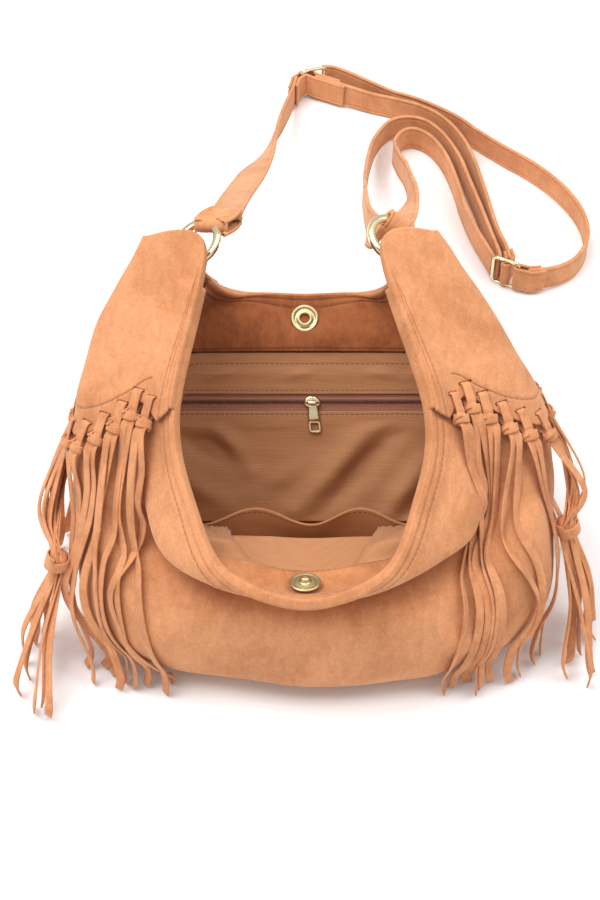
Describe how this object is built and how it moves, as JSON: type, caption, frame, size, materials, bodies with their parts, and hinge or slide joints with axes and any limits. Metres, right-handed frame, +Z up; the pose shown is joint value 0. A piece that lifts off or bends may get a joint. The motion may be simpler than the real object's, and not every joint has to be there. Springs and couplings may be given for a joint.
{
  "type": "fringed suede shoulder bag",
  "caption": "Soft suede shoulder bag standing open, with laced fringe on two side panels, strap rings, slide adjusters, magnetic snap, lined inside with a zip pocket and slip pockets.",
  "frame": {"origin": "on the surface that the bag stands on, below the middle of its base panel", "axes": "+Z up; +X to the bag's right as seen from the front; +Y to the rear, where the strap lies; the open mouth faces up and forward"},
  "size_m": [0.3691, 0.5855, 0.2065],
  "materials": {
    "suede": "napped camel suede, matt",
    "facing_suede": "reddish-brown suede facing, matt",
    "lining_cloth": "brown woven lining with level slubs",
    "zip_tape": "reddish-brown woven zip tape",
    "metal": "polished pale gold plating"
  },
  "bodies": {
    "bag": {"body_front": "suede", "body_rear": "suede", "base_panel": "suede", "wing_right": "suede", "wing_left": "suede", "strap_left": "suede", "strap_link": "suede", "strap_loop": "suede", "strap_outer": "suede", "strap_inner": "suede", "lace_right_1": "suede", "lace_right_2": "suede", "lace_right_3": "suede", "lace_right_4": "suede", "lace_right_5": "suede", "lace_right_6": "suede", "lace_right_7": "suede", "lace_right_8": "suede", "lace_right_9": "suede", "lace_right_10": "suede", "lace_right_11": "suede", "lace_right_12": "suede", "lace_right_13": "suede", "lace_left_1": "suede", "lace_left_2": "suede", "lace_left_3": "suede", "lace_left_4": "suede", "lace_left_5": "suede", "lace_left_6": "suede", "lace_left_7": "suede", "lace_left_8": "suede", "lace_left_9": "suede", "lace_left_10": "suede", "lace_left_11": "suede", "lace_left_12": "suede", "lace_left_13": "suede", "facing_front": "facing_suede", "facing_rear": "facing_suede", "wing_backing_right": "facing_suede", "wing_backing_left": "facing_suede", "lining_front": "lining_cloth", "lining_rear": "lining_cloth", "zip_pocket_pouch": "lining_cloth", "slip_pocket": "lining_cloth", "zip_tape_upper": "zip_tape", "zip_tape_lower": "zip_tape", "snap_front": "metal", "snap_rear": "metal", "snap_plate_front": "metal", "snap_plate_rear": "metal", "adjuster_left": "metal", "adjuster_right": "metal"},
    "slider": {"zip_slider": "metal"},
    "pull": {"zip_pull": "metal"},
    "left_ring": {"ring_left": "metal"},
    "right_ring": {"ring_right": "metal"}
  },
  "joints": [
    {"name": "zip_slide", "type": "slide", "parent": "bag", "child": "slider", "axis": [1, 0, 0], "range_m": [-0.077, 0.067]},
    {"name": "pull_swing", "type": "hinge", "parent": "slider", "child": "pull", "pos_m": [0.005, 0.10775, 0.06925], "axis": [-1, 0, 0], "range_deg": [0, 160]},
    {"name": "left_ring_turn", "type": "hinge", "parent": "bag", "child": "left_ring", "pos_m": [-0.0642, 0.1312, 0.186], "axis": [-0.4702, -0.1731, 0.8654], "continuous": true},
    {"name": "right_ring_turn", "type": "hinge", "parent": "bag", "child": "right_ring", "pos_m": [0.0516, 0.1347, 0.186], "axis": [0.4702, -0.1731, 0.8654], "continuous": true}
  ]
}
